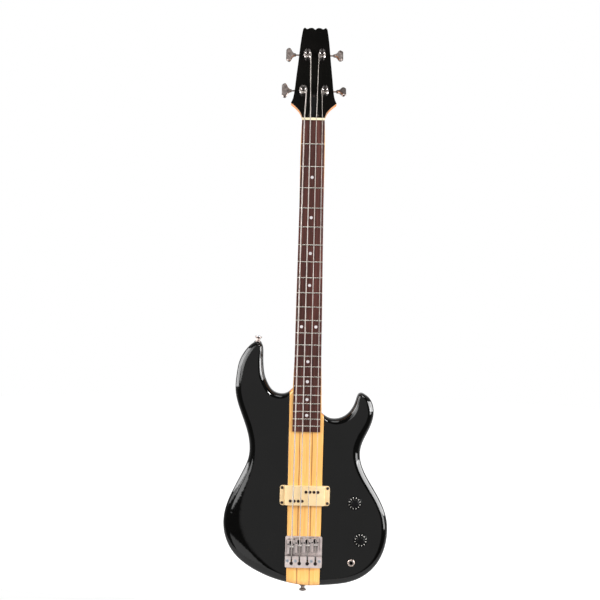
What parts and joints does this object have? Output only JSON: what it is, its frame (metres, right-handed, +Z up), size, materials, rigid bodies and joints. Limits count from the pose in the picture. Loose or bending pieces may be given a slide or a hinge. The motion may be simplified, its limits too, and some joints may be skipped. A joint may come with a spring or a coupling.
{
  "type": "electric bass guitar",
  "caption": "Neck-through electric bass guitar with a black contoured body, maple and walnut centre, cream split pickup, sliding-saddle bridge and worm-geared tuners.",
  "frame": {"origin": "middle of the rim of the strap pin at the tail, on the line of the neck and the mid-plane of the body", "axes": "+X to the treble side as the player's audience sees it, +Y to the back, +Z up along the neck to the headstock"},
  "size_m": [0.3364, 0.0808, 1.1564],
  "materials": {
    "maple": "clear gloss",
    "walnut": "clear gloss",
    "rosewood": "oiled",
    "black_lacquer": "gloss black lacquer",
    "black_facing": "satin black",
    "fret_wire": "polished nickel silver",
    "pearl": "pearl",
    "bone": "polished bone",
    "nickel": "nickel plate",
    "steel": "plain steel",
    "string_steel": "wound steel",
    "bridge_metal": "satin plate",
    "brass": "plain",
    "cream_plastic": "cream",
    "copper": "enamelled wire",
    "black_plastic": "satin black",
    "felt": "black felt"
  },
  "bodies": {
    "bass": {"neck_maple_core": "maple", "neck_maple_sides": "maple", "neck_walnut_strips": "walnut", "body_wing_bass": "black_lacquer", "body_wing_treble": "black_lacquer", "fretboard": "rosewood", "frets": "fret_wire", "fret_dots": "pearl", "nut": "bone", "headstock_overlay": "black_facing", "truss_rod": "steel", "truss_rod_cover": "black_plastic", "small_screws": "nickel", "wiring": "black_plastic", "tuner_plates": "nickel", "tuner_ferrules": "nickel", "tuner_screws": "nickel", "bridge_base": "bridge_metal", "bridge_screws": "steel", "saddle_lock_screws": "steel", "string_ball_ends": "brass", "pickup_cover": "cream_plastic", "pickup_poles": "steel", "pickup_coils": "copper", "pickup_base": "black_plastic", "pickup_screws": "steel", "pots": "steel", "pot_nuts": "nickel", "jack_socket": "nickel", "jack_nut": "nickel", "control_cover": "black_plastic", "strap_pins": "nickel", "strap_pin_felts": "felt", "strap_pin_screws": "nickel", "string_e": "string_steel", "string_a": "string_steel", "string_d": "string_steel", "string_g": "string_steel"},
    "tuner_key_e": {"tuner_worm_e": "nickel", "tuner_button_e": "nickel"},
    "string_post_e": {"tuner_post_e": "nickel", "tuner_gear_e": "brass"},
    "tuner_key_a": {"tuner_worm_a": "nickel", "tuner_button_a": "nickel"},
    "string_post_a": {"tuner_post_a": "nickel", "tuner_gear_a": "brass"},
    "tuner_key_d": {"tuner_worm_d": "nickel", "tuner_button_d": "nickel"},
    "string_post_d": {"tuner_post_d": "nickel", "tuner_gear_d": "brass"},
    "tuner_key_g": {"tuner_worm_g": "nickel", "tuner_button_g": "nickel"},
    "string_post_g": {"tuner_post_g": "nickel", "tuner_gear_g": "brass"},
    "saddle_slide_e": {"saddle_e": "bridge_metal"},
    "saddle_slide_a": {"saddle_a": "bridge_metal"},
    "saddle_slide_d": {"saddle_d": "bridge_metal"},
    "saddle_slide_g": {"saddle_g": "bridge_metal"},
    "control_volume": {"knob_volume": "black_plastic"},
    "control_tone": {"knob_tone": "black_plastic"}
  },
  "joints": [
    {"name": "key_e_turn", "type": "hinge", "parent": "bass", "child": "tuner_key_e", "pos_m": [-0.022, 0.01692, 1.02351], "axis": [-1, 0, 0], "continuous": true},
    {"name": "post_e_turn", "type": "hinge", "parent": "bass", "child": "string_post_e", "pos_m": [-0.022, -0.00811, 1.0207], "axis": [0, -0.9781, 0.2079], "continuous": true},
    {"name": "key_a_turn", "type": "hinge", "parent": "bass", "child": "tuner_key_a", "pos_m": [-0.0147, 0.03297, 1.09902], "axis": [-1, 0, 0], "continuous": true},
    {"name": "post_a_turn", "type": "hinge", "parent": "bass", "child": "string_post_a", "pos_m": [-0.0147, 0.00794, 1.09621], "axis": [0, -0.9781, 0.2079], "continuous": true},
    {"name": "key_d_turn", "type": "hinge", "parent": "bass", "child": "tuner_key_d", "pos_m": [0.0147, 0.03297, 1.09902], "axis": [1, 0, 0], "continuous": true},
    {"name": "post_d_turn", "type": "hinge", "parent": "bass", "child": "string_post_d", "pos_m": [0.0147, 0.00794, 1.09621], "axis": [0, -0.9781, 0.2079], "continuous": true},
    {"name": "key_g_turn", "type": "hinge", "parent": "bass", "child": "tuner_key_g", "pos_m": [0.022, 0.01692, 1.02351], "axis": [1, 0, 0], "continuous": true},
    {"name": "post_g_turn", "type": "hinge", "parent": "bass", "child": "string_post_g", "pos_m": [0.022, -0.00811, 1.0207], "axis": [0, -0.9781, 0.2079], "continuous": true},
    {"name": "saddle_e_slide", "type": "slide", "parent": "bass", "child": "saddle_slide_e", "axis": [0, 0, 1], "range_m": [0, 0.004]},
    {"name": "saddle_a_slide", "type": "slide", "parent": "bass", "child": "saddle_slide_a", "axis": [0, 0, 1], "range_m": [0, 0.004]},
    {"name": "saddle_d_slide", "type": "slide", "parent": "bass", "child": "saddle_slide_d", "axis": [0, 0, 1], "range_m": [0, 0.004]},
    {"name": "saddle_g_slide", "type": "slide", "parent": "bass", "child": "saddle_slide_g", "axis": [0, 0, 1], "range_m": [0, 0.004]},
    {"name": "knob_volume_turn", "type": "hinge", "parent": "bass", "child": "control_volume", "pos_m": [0.1021, -0.02, 0.18355], "axis": [0, -1, 0], "range_deg": [-150, 150]},
    {"name": "knob_tone_turn", "type": "hinge", "parent": "bass", "child": "control_tone", "pos_m": [0.1156, -0.02, 0.10805], "axis": [0, -1, 0], "range_deg": [-150, 150]}
  ],
  "couplings": [
    {"joint": "post_e_turn", "follows": "key_e_turn", "ratio": 0.0625},
    {"joint": "post_a_turn", "follows": "key_a_turn", "ratio": 0.0625},
    {"joint": "post_d_turn", "follows": "key_d_turn", "ratio": 0.0625},
    {"joint": "post_g_turn", "follows": "key_g_turn", "ratio": 0.0625}
  ]
}
